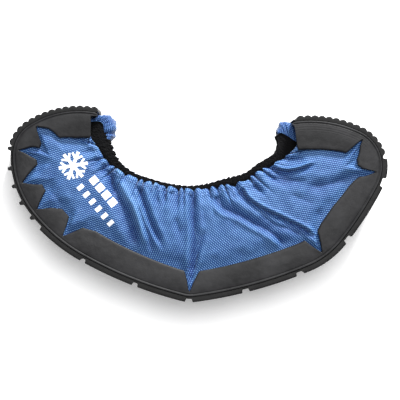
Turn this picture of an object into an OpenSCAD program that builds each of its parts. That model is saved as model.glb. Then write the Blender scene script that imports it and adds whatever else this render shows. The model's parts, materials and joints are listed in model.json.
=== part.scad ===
// Walking guard for an ice skate blade.
// A moulded rubber sole strip with notched side walls carries a gathered fabric sock with a terry lining
// and an elastic edge. The guard lies on its side: X runs from toe to heel, Y from the sole to the
// opening, and Z across the guard's width. Lengths are in millimetres.

/* [Width] */
// Overall width of the sole, across Z
sole_width = 34; // [28:0.5:44]
// Thickness of each rubber side wall
wall_thickness = 2.2; // [1.6:0.1:3]
// Thickness of the woven mesh panels
mesh_thickness = 0.8; // [0.5:0.1:1.2]
// Thickness of the terry lining
terry_thickness = 1.6; // [1:0.1:2.5]

/* [Sole] */
// Thickness of the black outsole under the shell
outsole_thickness = 1.2; // [0.8:0.1:1.6]
// Thickness of the shell's own bottom
shell_thickness = 2; // [1.5:0.1:3]
// Height of the tread blocks and studs
tread_height = 1.8; // [1:0.1:2.4]
// Height of the round climbing ribs at both ends
rib_height = 1.9; // [1:0.1:2.2]
// Distance between two climbing ribs
rib_pitch = 3.75; // [3.5:0.05:4.5]
// Height of the side walls above the outsole's lower face
wall_height = 14; // [12:0.5:15]

/* [Flexing] */
// Distance along the sole from the middle slit to the toe cap's slit
toe_cap_at = 130; // [128:0.5:131]
// Distance along the sole from the middle slit to the heel cap's slit
heel_cap_at = 125.6; // [124.5:0.1:126.5]
// Gap between two rubber pieces that turn against each other
flex_gap = 0.3; // [0.2:0.05:0.6]

/* [Opening] */
// Height of the black elastic band, most of it inside the lining
elastic_height = 7; // [5:0.5:9]
// Thickness of the elastic edge
elastic_thickness = 1.2; // [0.8:0.1:1.6]
// Width of the hoods at the two ends, across Z
hood_width = 18; // [12:1:20]

/* [Hidden] */

TOE = -1;
HEEL = 1;
// The middle of the guard's box on the surface it lies on, seen from the middle slit's root
origin_shift = [4.635, 50.04];

// Each half's lower face, from the middle slit outwards: first heading, then [length, turn] arcs in degrees
toe_heading = 13.3;
toe_arcs = [[60, 15.8], [36.4, 23], [33.2, 39.7], [19, 55.6], [39.8, 46]];
heel_heading = 6.7;
heel_arcs = [[65.3, 16], [22, 28.1], [35, 11.8], [12, 28.9], [23, 63], [37, 34.2]];
toe_wall_end = 184;
heel_wall_end = 191.5;
// The sole's rounded tip reaches this far past the walls' ends
tip_reach = 3;
step = 3;
little = 0.01;

// Heights above the outsole's lower face, and places across Z counted from each side
inner = outsole_thickness + shell_thickness;
insole_top = inner + terry_thickness;
mesh_gap = 0.3;
mesh_z = wall_thickness + mesh_gap;
terry_z = mesh_z + mesh_thickness;
pocket_z = terry_z + terry_thickness;
edge_gap = 0.5;
insole_start = 1.5;
// The halves' fabric edges lean apart, so that the guard can curl a little further than it lies
half_lean = 2.2;

// Corners of the walls' upper edge as [distance along the sole, height], with the notches
middle_slit = 3.8;
toe_wall = [
    [6, wall_height], [69, wall_height], [75.2, 3.8], [79.6, 13.9], [86.2, 14.3], [95.6, 4.1],
    [102, 13.6], [107.4, 13.5], [113, 3.8], [122.2, 14], [126, 13.8]
];
toe_cap_wall = [
    [142.6, 14], [149.2, 13], [151.6, 3.6], [158.2, 7.8], [162.6, 13.9], [174.8, 15.4], [toe_wall_end, 15]
];
heel_wall = [
    [7.4, wall_height], [70.4, wall_height], [75.5, 3.6], [82.3, 14.2], [88.3, 15.3], [100, 15.7],
    [114.9, 14.2], [122.3, 11.8]
];
heel_cap_wall = [
    [131, 11.8], [135.3, 14.2], [144.5, 13.6], [152.8, 8], [154.2, 4], [159.9, 14.3], [173, 15.8],
    [heel_wall_end, 16.3]
];
toe_slit_tip = [132.2, 2.2];
heel_slit_tip = [130, 3.9];

// Opening's fabric edge and the elastic's upper edge, toe first, and the points where the halves meet
fabric_edge = [[-51.5, 84.4], [-46, 75.5], [-36, 67], [-22, 61], [0, 57.3], [22, 59.8], [35, 65.5], [47, 72.5],
               [56, 79]];
elastic_edge = [[-42, 83], [-38.5, 75.5], [-31, 67.8], [-19, 63.2], [0, 60], [19, 63.2], [32, 69.2], [43, 76],
                [47, 83]];
middle_knot = 4;

// A hood's crown and rim, from the shell's end outwards; its roof starts at the crown's third point
roof_from = 2;
hood_roof = 1.2;
toe_hood_crown = [[-50.2, 95.2], [-47.8, 94.9], [-45.4, 96.5], [-43, 96.6], [-40.4, 94.8], [-39, 90.5], [-39.6, 86],
                  [-41.6, 84.2]];
toe_hood_rim = [[-44.2, 84.6], [-44.6, 89], [-45.6, 91.8], [-50.2, 92.4]];
heel_hood_crown = [[56.6, 90.3], [54.6, 90], [52.6, 92.6], [50.4, 93.3], [48.1, 92.6], [46.6, 90], [45.8, 87.4]];
heel_hood_rim = [[48.8, 86.6], [52.2, 84.8], [56.6, 82.4]];

studs_at = [93.8, 103.2, 112.6, 122];
cap_stud_at = 132.4;
toe_blocks = [[1.5, 28], [30.4, 58], [60.2, 87]];
heel_blocks = [[1.5, 28.4], [31.6, 58], [61.6, 88.6], [92.4, 123.2]];
heel_lug_run = [127.4, 137.6];
// The heel cap's lug stands this much prouder than the other blocks
lug_extra = 0.2;
stud_width = 2.2;
// Each climbing rib's axis lies this far above the outsole's lower face
rib_sunk = 0.1;
// Margin by which a cutting shape runs past what it cuts
spare = 1;

// A place on an arc of the given length and turn, a distance along it from start = [x, y, heading]
function along_arc(start, arc, distance) =
    let (radius = arc[0] / (arc[1] * PI / 180), heading = start[2] + arc[1] * distance / arc[0])
    [start[0] + radius * (sin(heading) - sin(start[2])),
     start[1] - radius * (cos(heading) - cos(start[2])),
     heading];

// Walks the arcs until the distance falls inside one, or runs past the last
function along_sole(start, arcs, distance, i = 0) =
    distance <= arcs[i][0] || i == len(arcs) - 1
        ? along_arc(start, arcs[i], distance)
        : along_sole(along_arc(start, arcs[i], arcs[i][0]), arcs, distance - arcs[i][0], i + 1);

// The point at a distance along one half's sole and a height above its lower face
function at(side, distance, height) =
    let (p = side == TOE
        ? along_sole([0, 0, toe_heading], toe_arcs, distance)
        : along_sole([0, 0, heel_heading], heel_arcs, distance))
    [side * (p[0] - height * sin(p[2])), p[1] + height * cos(p[2])];

// Points between two [distance, height] corners, both included, with stations at whole steps
function run(side, a, b) =
    let (low = min(a[0], b[0]), high = max(a[0], b[0]),
         stations = [for (k = [floor(low / step) + 1 : 1 : ceil(high / step) - 1]) k * step],
         stops = concat(low, stations, high),
         slope = high > low ? (b[1] - a[1]) / (b[0] - a[0]) : 0)
    high == low
        ? [at(side, a[0], a[1]), at(side, b[0], b[1])]
        : [for (s = b[0] > a[0] ? stops : reversed(stops)) at(side, s, a[1] + slope * (s - a[0]))];

function run_through(side, corners) =
    [for (i = [0:len(corners) - 2]) for (p = run(side, corners[i], corners[i + 1])) p];

// The two halves meet at the middle on a mitre: its distance from the middle at a height
function mitre(height) = flex_gap / 2 + height * tan((toe_heading + heel_heading) / 2);

// A smooth curve through points (Catmull-Rom), from the knot first to the knot last
function knot(points, i) = points[max(0, min(len(points) - 1, i))];
function between(points, i, t) =
    let (a = knot(points, i - 1), b = knot(points, i), c = knot(points, i + 1), d = knot(points, i + 2))
    0.5 * (2 * b + (c - a) * t + (2 * a - 5 * b + 4 * c - d) * t * t + (3 * b - a - 3 * c + d) * t * t * t);
function smooth(points, first, last, parts = 4) =
    [for (i = [first:last - 1]) for (k = [0:parts - 1]) between(points, i, k / parts), points[last]];
function shifted(points, by) = [for (p = points) p + by];
function reversed(points) = [for (i = [len(points) - 1:-1:0]) points[i]];

// A strip that follows the sole between two distances and two heights, and stops short of the middle
module strip(side, from, to, low, high) {
    polygon(concat(
        run(side, [max(from, mitre(low)), low], [to, low]),
        run(side, [to, high], [max(from, mitre(high)), high])
    ));
}

// A flat layer at a height z, with its own thickness
module layer(z, thickness) {
    translate([-origin_shift[0], -origin_shift[1], z])
        linear_extrude(thickness)
            children();
}

// The same layer at both sides of the guard
module both_sides(z, thickness) {
    layer(z, thickness) children();
    layer(sole_width - z - thickness, thickness) children();
}

// Two notched walls joined by the shell's bottom
module shell(side, from, to, upper_edge, bottom_to) {
    both_sides(0, wall_thickness)
        polygon(concat(
            run(side, [max(from, mitre(outsole_thickness)), outsole_thickness], [to, outsole_thickness]),
            run_through(side, reversed(upper_edge))
        ));
    layer(wall_thickness, sole_width - 2 * wall_thickness)
        strip(side, from, bottom_to, outsole_thickness, inner);
}

module toe_shell() {
    color("#3a3a3c")
        shell(TOE, 0, toe_cap_at - flex_gap / 2,
              concat([[mitre(middle_slit), middle_slit]], toe_wall, [toe_slit_tip - [flex_gap, 0]]),
              toe_cap_at - flex_gap / 2);
}

module toe_cap_shell() {
    color("#3a3a3c")
        shell(TOE, toe_cap_at + flex_gap / 2, toe_wall_end, concat([toe_slit_tip + [flex_gap, 0]], toe_cap_wall),
              toe_wall_end + tip_reach);
}

module heel_shell() {
    color("#3a3a3c")
        shell(HEEL, 0, heel_cap_at - flex_gap / 2,
              concat([[mitre(middle_slit), middle_slit]], heel_wall, [heel_slit_tip - [flex_gap, 0]]),
              heel_cap_at - flex_gap / 2);
}

module heel_cap_shell() {
    color("#3a3a3c")
        shell(HEEL, heel_cap_at + flex_gap / 2, heel_wall_end,
              concat([heel_slit_tip + [flex_gap, 0]], heel_cap_wall), heel_wall_end + tip_reach);
}

// The black bottom skin of one piece of the sole
module skin(side, from, to) {
    layer(0, sole_width)
        strip(side, from, to, 0, outsole_thickness);
}

// Tread blocks between pairs of distances along the sole
module blocks(side, runs, height) {
    for (r = runs)
        layer(0, sole_width)
            strip(side, r[0], r[1], -height, little);
}

// Round ribs across the sole, from one distance to another
module ribs(side, from, to) {
    for (s = [from:rib_pitch:to])
        layer(0, sole_width)
            translate(at(side, s, rib_sunk))
                circle(r = rib_height + rib_sunk, $fn = 24);
}

module toe_outsole() {
    color("#18181a") {
        skin(TOE, 0, toe_cap_at - flex_gap / 2);
        blocks(TOE, toe_blocks, tread_height);
        blocks(TOE, [for (s = studs_at) [s - stud_width / 2, s + stud_width / 2]], tread_height);
    }
}

module toe_cap_outsole() {
    color("#18181a") {
        difference() {
            union() {
                skin(TOE, toe_cap_at + flex_gap / 2, toe_wall_end + tip_reach);
                blocks(TOE, [[cap_stud_at - stud_width / 2, cap_stud_at + stud_width / 2]], tread_height);
                ribs(TOE, cap_stud_at + rib_pitch, toe_wall_end + tip_reach - rib_height);
            }
            layer(-spare, sole_width + 2 * spare)
                strip(TOE, toe_cap_at, toe_wall_end + tip_reach, outsole_thickness, inner + spare);
        }
    }
}

module heel_outsole() {
    color("#18181a") {
        skin(HEEL, 0, heel_cap_at - flex_gap / 2);
        blocks(HEEL, heel_blocks, tread_height);
    }
}

module heel_cap_outsole() {
    color("#18181a") {
        difference() {
            union() {
                skin(HEEL, heel_cap_at + flex_gap / 2, heel_wall_end + tip_reach);
                blocks(HEEL, [heel_lug_run], tread_height + lug_extra);
                ribs(HEEL, heel_lug_run[1] + rib_pitch, heel_wall_end + tip_reach - rib_height);
            }
            layer(-spare, sole_width + 2 * spare)
                strip(HEEL, heel_cap_at, heel_wall_end + tip_reach, outsole_thickness, inner + spare);
        }
    }
}

// Terry strip along the inside of the sole, which takes the blade's edge
module insole(side, from, to, clear) {
    color("#121214")
        layer(pocket_z + clear, sole_width - 2 * (pocket_z + clear))
            strip(side, from, to, inner, insole_top);
}

// Outline of the sock's side in one half, from the sole's inside to the given edge curve
module sock_outline(side) {
    wall_end = side == TOE ? toe_wall_end : heel_wall_end;
    cap_at = side == TOE ? toe_cap_at : heel_cap_at;
    edge = side == TOE
        ? smooth(fabric_edge, 0, middle_knot)
        : reversed(smooth(fabric_edge, middle_knot, len(fabric_edge) - 1));
    under_half = run(side, [mitre(inner) + edge_gap, inner], [cap_at - edge_gap, inner]);
    under_cap = run(side, [cap_at - edge_gap, inner + edge_gap], [wall_end, inner + edge_gap]);
    last = edge[len(edge) - 1];
    polygon(concat(under_half, under_cap, [for (i = [0:len(edge) - 2]) edge[i]],
                   [[side * (edge_gap + last[1] * tan(half_lean)), last[1]]]));
}

module panel(side, z) {
    color("#4f74b8")
        layer(z, mesh_thickness)
            sock_outline(side);
}

module lining(side, z) {
    color("#121214")
        layer(z, terry_thickness)
            sock_outline(side);
}

// Middle of an outline, and a step of one roof thickness towards it
function middle(points) =
    let (n = len(points)) [for (k = [0:1]) [for (p = points) p[k]] * [for (p = points) 1] / n];
function inward(p, centre) = p + (centre - p) / norm(centre - p) * hood_roof;

// Soft hood over the shell's end: two sides tucked under the sole's tip, and a roof beyond the tip
module hood(crown, rim) {
    low = (sole_width - hood_width) / 2;
    outline = concat(smooth(crown, 0, len(crown) - 1), smooth(rim, 0, len(rim) - 1));
    arch = smooth(crown, roof_from, len(crown) - 1);
    centre = middle(outline);
    color("#4f74b8") {
        for (z = [low, sole_width - low - mesh_thickness])
            layer(z, mesh_thickness)
                polygon(outline);
        layer(low, hood_width)
            polygon(concat(arch, [for (p = reversed(arch)) inward(p, centre)]));
    }
}

module toe_hood() {
    hood(toe_hood_crown, toe_hood_rim);
}

module heel_hood() {
    hood(heel_hood_crown, heel_hood_rim);
}

// One closed loop: a band along each side of the opening, and a cross piece under each hood
module opening_elastic() {
    edge = smooth(elastic_edge, 0, len(elastic_edge) - 1);
    bar_height = 3;
    first = elastic_edge[0];
    last = elastic_edge[len(elastic_edge) - 1];
    color("#0d0d0f") {
        both_sides(pocket_z, elastic_thickness)
            polygon(concat(edge, reversed(shifted(edge, [0, -elastic_height]))));
        layer(pocket_z, sole_width - 2 * pocket_z) {
            translate(first - [0, bar_height])
                square([elastic_thickness, bar_height]);
            translate(last - [elastic_thickness, bar_height])
                square([elastic_thickness, bar_height]);
        }
    }
}

// White transfer print: a six-armed flake, then a row of wide bars and a row of slim ones
module snowflake_print() {
    centre = [-60.5, 70];
    turn = -50;
    arm = 7.6;
    arm_width = 1.7;
    branch = 2.6;
    branch_width = 1.1;
    branch_at = 4.4;
    branch_turn = 45;
    wide_bar = [3.8, 4.2];
    wide_start = [11, 1.2];
    wide_pitch = 5;
    wide_count = 4;
    slim_bar = [2.2, 3.6];
    slim_start = [10, -6.2];
    slim_pitch = 4.9;
    slim_count = 6;
    print_thickness = 0.2;
    color("#f2f4f6")
        layer(sole_width - mesh_z, print_thickness)
            translate(centre)
                rotate(turn) {
                    for (arm_turn = [0:60:300])
                        rotate(arm_turn) {
                            translate([0, -arm_width / 2])
                                square([arm, arm_width]);
                            for (side = [-1, 1])
                                translate([branch_at, side * arm_width / 2])
                                    rotate(side * branch_turn)
                                        translate([-branch_width / 2, -branch_width / 2])
                                            square([branch + branch_width / 2, branch_width]);
                        }
                    for (k = [0:wide_count - 1])
                        translate(wide_start + [wide_pitch * k, 0])
                            square(wide_bar);
                    for (k = [0:slim_count - 1])
                        translate(slim_start + [slim_pitch * k, 0])
                            square(slim_bar);
                }
}

// Places across Z of the sock's upper side, the one that faces up
near = sole_width - mesh_z - mesh_thickness;
near_terry = sole_width - pocket_z;

toe_cap_shell();
toe_shell();
heel_shell();
heel_cap_shell();
toe_cap_outsole();
toe_outsole();
heel_outsole();
heel_cap_outsole();
insole(TOE, toe_cap_at + edge_gap, toe_wall_end, edge_gap);  // toe_cap_insole
insole(TOE, insole_start, toe_cap_at - edge_gap, 0);  // toe_insole
insole(HEEL, insole_start, heel_cap_at - edge_gap, 0);  // heel_insole
insole(HEEL, heel_cap_at + edge_gap, heel_wall_end, edge_gap);  // heel_cap_insole
panel(TOE, near);  // toe_panel_near
panel(TOE, mesh_z);  // toe_panel_far
panel(HEEL, near);  // heel_panel_near
panel(HEEL, mesh_z);  // heel_panel_far
lining(TOE, near_terry);  // toe_lining_near
lining(TOE, terry_z);  // toe_lining_far
lining(HEEL, near_terry);  // heel_lining_near
lining(HEEL, terry_z);  // heel_lining_far
toe_hood();
heel_hood();
opening_elastic();
snowflake_print();
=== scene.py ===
"""Looks of a walking guard for a skate blade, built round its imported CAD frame.

The outlines below are in millimetres, measured from the root of the guard's middle slit: x runs towards the
heel, y from the sole to the opening, z across the guard's width. in_frame() puts them in the frame, in metres.
"""

import json
import math

import bpy
import bmesh
import numpy as np
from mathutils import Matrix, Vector
from mathutils.bvhtree import BVHTree


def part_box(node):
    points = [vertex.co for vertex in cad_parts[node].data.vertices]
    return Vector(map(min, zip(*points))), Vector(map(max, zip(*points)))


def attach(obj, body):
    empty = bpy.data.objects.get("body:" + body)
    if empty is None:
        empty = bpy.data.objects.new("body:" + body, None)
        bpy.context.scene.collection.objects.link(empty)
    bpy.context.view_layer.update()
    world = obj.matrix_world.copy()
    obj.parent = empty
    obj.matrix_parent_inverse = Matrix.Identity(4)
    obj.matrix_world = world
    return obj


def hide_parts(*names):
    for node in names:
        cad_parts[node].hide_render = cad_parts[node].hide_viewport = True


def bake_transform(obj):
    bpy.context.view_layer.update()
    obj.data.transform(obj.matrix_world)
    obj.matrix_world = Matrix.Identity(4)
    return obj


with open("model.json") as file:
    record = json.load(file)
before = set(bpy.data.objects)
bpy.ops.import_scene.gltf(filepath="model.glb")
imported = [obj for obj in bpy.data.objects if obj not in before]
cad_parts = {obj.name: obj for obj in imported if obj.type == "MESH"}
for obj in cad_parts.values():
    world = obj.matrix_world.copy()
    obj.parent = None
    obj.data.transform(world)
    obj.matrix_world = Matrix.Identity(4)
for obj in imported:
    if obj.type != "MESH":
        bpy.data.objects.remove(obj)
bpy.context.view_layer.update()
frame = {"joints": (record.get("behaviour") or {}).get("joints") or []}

MM = 0.001
MIDDLE = next(j["pos_m"] for j in frame["joints"] if j["name"] == "mid_flex")
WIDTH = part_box("heel_outsole")[1][2] / MM

# ---------------- the sole's curve

# Each half's lower face, from the middle slit outwards: first heading, then [length, turn] arcs in degrees
TOE_HEADING = 13.3
TOE_ARCS = [[60, 15.8], [36.4, 23], [33.2, 39.7], [19, 55.6], [39.8, 46]]
HEEL_HEADING = 6.7
HEEL_ARCS = [[65.3, 16], [22, 28.1], [35, 11.8], [12, 28.9], [23, 63], [37, 34.2]]
TOE_TIP, TOE_WALL_END = -187.0, -184.0
HEEL_TIP, HEEL_WALL_END = 194.5, 191.5
OUTSOLE, FLOOR, INSOLE_TOP = 1.2, 3.2, 4.8
WALL = 2.2
# The corner at the middle is rounded over this distance on each side
CORNER = 3.0
STATION = 0.1
SPARE = 8.0


def half_curve(heading, arcs, reach, kink):
    """Distances, places and headings (radians) along one half of the sole, from the middle outwards."""
    lengths = np.cumsum([0] + [a[0] for a in arcs])
    turns = heading + np.cumsum([0] + [a[1] for a in arcs])
    last = arcs[-1][1] / arcs[-1][0]
    lengths = np.append(lengths, lengths[-1] + 100)
    turns = np.append(turns, turns[-1] + 100 * last)
    s = np.arange(0, reach + STATION, STATION)
    angle = np.radians(np.interp(s, lengths, turns) - kink * np.clip(1 - s / CORNER, 0, 1))
    middle = (angle[1:] + angle[:-1]) / 2
    x = np.append(0, np.cumsum(np.cos(middle))) * STATION
    y = np.append(0, np.cumsum(np.sin(middle))) * STATION
    return s, x, y, angle


def sole_curve():
    """The whole sole from the toe's tip (negative distances) to the heel's (positive ones)."""
    kink = (TOE_HEADING + HEEL_HEADING) / 2
    rise = CORNER * math.radians(kink) / 2
    toe = half_curve(TOE_HEADING, TOE_ARCS, SPARE - TOE_TIP, kink)
    heel = half_curve(HEEL_HEADING, HEEL_ARCS, SPARE + HEEL_TIP, kink)
    t = np.concatenate([-toe[0][::-1], heel[0][1:]])
    x = np.concatenate([-toe[1][::-1], heel[1][1:]])
    y = np.concatenate([toe[2][::-1], heel[2][1:]]) + rise
    angle = np.concatenate([-toe[3][::-1], heel[3][1:]])
    return t, x, y, angle


SOLE_T, SOLE_X, SOLE_Y, SOLE_ANGLE = sole_curve()


def on_sole(t, height):
    """(x, y) at a distance t along the sole and a height above its lower face."""
    angle = np.interp(t, SOLE_T, SOLE_ANGLE)
    x = np.interp(t, SOLE_T, SOLE_X) - height * np.sin(angle)
    y = np.interp(t, SOLE_T, SOLE_Y) + height * np.cos(angle)
    return x, y


def in_frame(x, y, z):
    """Millimetres from the middle slit's root to metres in the row's frame."""
    x, y, z = np.broadcast_arrays(x, y, z)
    return np.stack([x * MM + MIDDLE[0], y * MM + MIDDLE[1], z * MM], axis=-1)


# ---------------- numbers and curves


def smoothstep(low, high, value):
    """0 at low and 1 at high, which may be the smaller of the two, with no corner at either."""
    t = np.clip((value - low) / (high - low), 0, 1)
    return t * t * (3 - 2 * t)


def bell(value, width):
    return np.exp(-((value / width) ** 2))


def run_along(line):
    """The distance run at each point of a line."""
    return np.append(0, np.cumsum(np.linalg.norm(np.diff(line, axis=0), axis=1)))


def through_points(points, steps):
    """A Catmull-Rom curve through the given points, with a number of steps from each to the next."""
    p = np.array(points, float)
    p = np.vstack([2 * p[0] - p[1], p, 2 * p[-1] - p[-2]])
    t = np.linspace(0, 1, steps, endpoint=False)[:, None]
    curve = []
    for a, b, c, d in zip(p[:-3], p[1:-2], p[2:-1], p[3:]):
        bend = (2 * a - 5 * b + 4 * c - d) * t**2 + (3 * b - a - 3 * c + d) * t**3
        curve.append(0.5 * (2 * b + (c - a) * t + bend))
    return np.vstack([*curve, p[-2:-1]])


def smooth_curve(points, spacing):
    """Evenly spaced points on a Catmull-Rom curve through the given ones."""
    dense = through_points(points, 24)
    run = run_along(dense)
    stops = np.linspace(0, run[-1], max(2, int(run[-1] / spacing) + 1))
    return np.stack([np.interp(stops, run, dense[:, k]) for k in range(dense.shape[1])], axis=1)


def ripple(x, y, size, seed):
    """Smooth noise from -1 to 1 with bumps of about the given size, the same on each run."""
    rng = np.random.RandomState(seed)
    total = np.zeros(np.broadcast(x, y).shape)
    for _ in range(7):
        turn, phase = rng.uniform(0, 2 * math.pi, 2)
        pitch = size * rng.uniform(0.75, 1.5)
        total += np.sin((x * math.cos(turn) + y * math.sin(turn)) * 2 * math.pi / pitch + phase)
    return total / 4


# ---------------- mesh making


def show(mesh, material, sharp):
    """A smooth-shaded object of a mesh, with edges sharper than an angle in degrees left hard."""
    mesh.polygons.foreach_set("use_smooth", [True] * len(mesh.polygons))
    mesh.set_sharp_from_angle(angle=math.radians(sharp))
    mesh.materials.append(material)
    mesh.update()
    piece = bpy.data.objects.new(mesh.name, mesh)
    bpy.context.scene.collection.objects.link(piece)
    return piece


def make_piece(name, points, faces, material, sharp, cloth=None):
    """An object of points and faces; cloth is each point's place on its flat cloth, in metres."""
    mesh = bpy.data.meshes.new(name)
    mesh.from_pydata(points.reshape(-1, 3).tolist(), [], faces)
    if cloth is not None:
        attribute = mesh.attributes.new("cloth", "FLOAT_VECTOR", "POINT")
        attribute.data.foreach_set("vector", cloth.astype(np.float32).ravel())
    return show(mesh, material, sharp)


def loop_faces(columns, ring):
    """Quads between closed rings, one ring a column, and a face that closes each end."""
    c = np.arange(columns - 1)[:, None] * ring
    r = np.arange(ring)[None, :]
    after = (r + 1) % ring
    quads = np.stack([c + r, c + after, c + ring + after, c + ring + r], axis=-1).reshape(-1, 4).tolist()
    first = list(range(ring))[::-1]
    last = list(range((columns - 1) * ring, columns * ring))
    return quads + [first, last]


def lofted(name, rings, material, sharp, cloth=None):
    """A closed solid through rings of points, [column, point, xyz], turned so that its faces look outwards."""
    columns, ring = rings.shape[:2]
    faces = loop_faces(columns, ring)
    flat = rings.reshape(-1, 3)
    quads = np.array(faces[:-2])
    a, b, c, d = (flat[quads[:, k]] for k in range(4))
    volume = np.einsum("ij,ij->i", a, np.cross(b, c)).sum() + np.einsum("ij,ij->i", a, np.cross(c, d)).sum()
    if volume < 0:
        faces = [f[::-1] for f in faces]
    return make_piece(name, flat, faces, material, sharp, cloth)


PARTS = ("toe", "middle", "heel")


def in_parts(name, rings, columns, material, sharp, cloth=None):
    """The toe, middle and heel pieces of one layer, from its rings and each part's columns."""
    pieces = []
    for part, c in zip(PARTS, columns):
        places = None if cloth is None else cloth[c].reshape(-1, 3)
        pieces.append(lofted(f"{name}_{part}", rings[c], material, sharp, places))
    return pieces


def cut_at(stations, *cuts):
    """Column slices of stations between cuts; neighbours share the column at the cut."""
    edges = [0] + [int(np.abs(stations - c).argmin()) for c in cuts] + [len(stations) - 1]
    return [slice(a, b + 1) for a, b in zip(edges[:-1], edges[1:])]


# ---------------- hinges between the bodies


# Each hinge, the direction across it, and the bodies that it joins, which lie one after the other that way
HINGES = [
    ("toe_cap_flex", (0, -1), "toe_cap", "toe_half"),
    ("mid_flex", (1, 0), "toe_half", "heel_half"),
    ("heel_cap_flex", (0, 1), "heel_half", "heel_cap"),
]
# Spans past those hinges, from where to where, for the rubber and for the sock's cloth, in millimetres
RUBBER_BENDS = [(-4, 4), (-6, 6), (1, 9)]
SOCK_BENDS = [(-7.5, 9.5), (-24, 24), (4.8, 20)]


def bend(pieces, bends):
    """Bakes the transforms of a layer's toe, middle and heel pieces."""
    for piece, (joint, across, first, second), distances in zip(pieces, HINGES, bends):
        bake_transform(piece)


def sole_layer(name, rings, columns, material, sharp, cloth=None):
    """The shell, the outsole or the insole in three pieces, each in the place of its CAD pieces."""
    toe, middle, heel = pieces = in_parts(name, rings, columns, material, sharp, cloth)
    bend(pieces, RUBBER_BENDS)
    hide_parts(f"toe_cap_{name}")
    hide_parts(f"toe_{name}")
    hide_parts(f"heel_{name}", f"heel_cap_{name}")
    return pieces


# ---------------- materials


class Shading:
    """A new material and short ways to add nodes to it; values are sockets or numbers."""

    def __init__(self, name):
        self.material = bpy.data.materials.new(name)
        self.material.use_nodes = True
        self.nodes = self.material.node_tree.nodes
        self.shader = self.nodes["Principled BSDF"].inputs

    def link(self, value, socket):
        self.material.node_tree.links.new(value, socket)

    def set(self, **values):
        """Sets the shader's own sockets; an underscore in a name stands for a space."""
        for name, value in values.items():
            self.shader[name.replace("_", " ")].default_value = value

    def math(self, operation, first, second):
        node = self.nodes.new("ShaderNodeMath")
        node.operation = operation
        for socket, value in zip(node.inputs, (first, second)):
            if isinstance(value, (int, float)):
                socket.default_value = value
            else:
                self.link(value, socket)
        return node.outputs[0]

    def times(self, first, second):
        return self.math("MULTIPLY", first, second)

    def plus(self, first, second):
        return self.math("ADD", first, second)

    def wave(self, turns, swing, middle):
        """A cosine that swings this far to both sides of its middle."""
        return self.plus(self.times(self.math("COSINE", turns, 0.0), swing), middle)

    def noise(self, vector, scale, detail=3.0, roughness=0.5):
        node = self.nodes.new("ShaderNodeTexNoise")
        for name, value in (("Scale", scale), ("Detail", detail), ("Roughness", roughness)):
            node.inputs[name].default_value = value
        self.link(vector, node.inputs["Vector"])
        return node.outputs["Fac"]

    def colour(self, value, stops):
        """Colours the surface by a ramp with stops (position, colour)."""
        node = self.nodes.new("ShaderNodeValToRGB")
        ramp = node.color_ramp
        while len(ramp.elements) < len(stops):
            ramp.elements.new(0.5)
        for element, (position, colour) in zip(ramp.elements, stops):
            element.position = position
            element.color = (*colour, 1)
        self.link(value, node.inputs["Fac"])
        self.link(node.outputs["Color"], self.shader["Base Color"])

    def bump(self, *layers):
        """Raises the surface by one layer after another, each (height, strength, distance in metres)."""
        below = None
        for height, strength, distance in layers:
            node = self.nodes.new("ShaderNodeBump")
            node.inputs["Strength"].default_value = strength
            node.inputs["Distance"].default_value = distance
            self.link(height, node.inputs["Height"])
            if below:
                self.link(below, node.inputs["Normal"])
            below = node.outputs["Normal"]
        self.link(below, self.shader["Normal"])

    def place(self):
        return self.nodes.new("ShaderNodeTexCoord").outputs["Object"]

    def cloth(self):
        """Each point's place in its cloth, or along the rubber, and that place's three parts."""
        cloth = self.nodes.new("ShaderNodeAttribute")
        cloth.attribute_name = "cloth"
        split = self.nodes.new("ShaderNodeSeparateXYZ")
        self.link(cloth.outputs["Vector"], split.inputs[0])
        return cloth.outputs["Vector"], split.outputs


# Moulded lines along the heel cap's wall: where they start along the sole, their heights and pitch, in metres
LINES_FROM, LINES_LOW, LINES_HIGH, LINES_PITCH = 0.148, 0.0028, 0.0066, 0.00125


def rubber(name, dark, light, roughness, grain):
    """Moulded rubber: a fine sandy skin, faint mottling and duller scuffs."""
    form = Shading(name)
    place = form.place()
    mottle = form.noise(place, 45, 5, 0.62)
    scuff = form.noise(place, 320, 6, 0.7)
    mixed = form.plus(form.times(mottle, 0.75), form.times(scuff, 0.25))
    form.colour(mixed, [(0.38, dark), (0.64, light)])
    rough = form.nodes.new("ShaderNodeMapRange")
    rough.inputs["To Min"].default_value = roughness - 0.1
    rough.inputs["To Max"].default_value = roughness + 0.14
    form.link(mixed, rough.inputs["Value"])
    form.link(rough.outputs["Result"], form.shader["Roughness"])
    run, height = form.cloth()[1][:2]
    lines = form.math("SINE", form.times(height, 2 * math.pi / LINES_PITCH), 0.0)
    for test, value, limit in (("GREATER_THAN", height, LINES_LOW), ("LESS_THAN", height, LINES_HIGH),
                               ("GREATER_THAN", run, LINES_FROM)):
        lines = form.times(lines, form.math(test, value, limit))
    skin = form.noise(place, 2600, 3, 0.6)
    waves = form.noise(place, 120, 3, 0.5)
    form.bump((waves, 0.35, 0.001), (lines, 0.3, 0.00006), (skin, grain, 0.00012))
    form.set(Specular_IOR_Level=0.2)
    return form.material


# The mesh's rows and the beads along them, in metres, and how much painted shade a millimetre of fold depth
# puts into its colour
ROW_PITCH, BEAD_PITCH = 0.00106, 0.0012
PAINTED_FOLD_SHADE = 0.11


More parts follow.
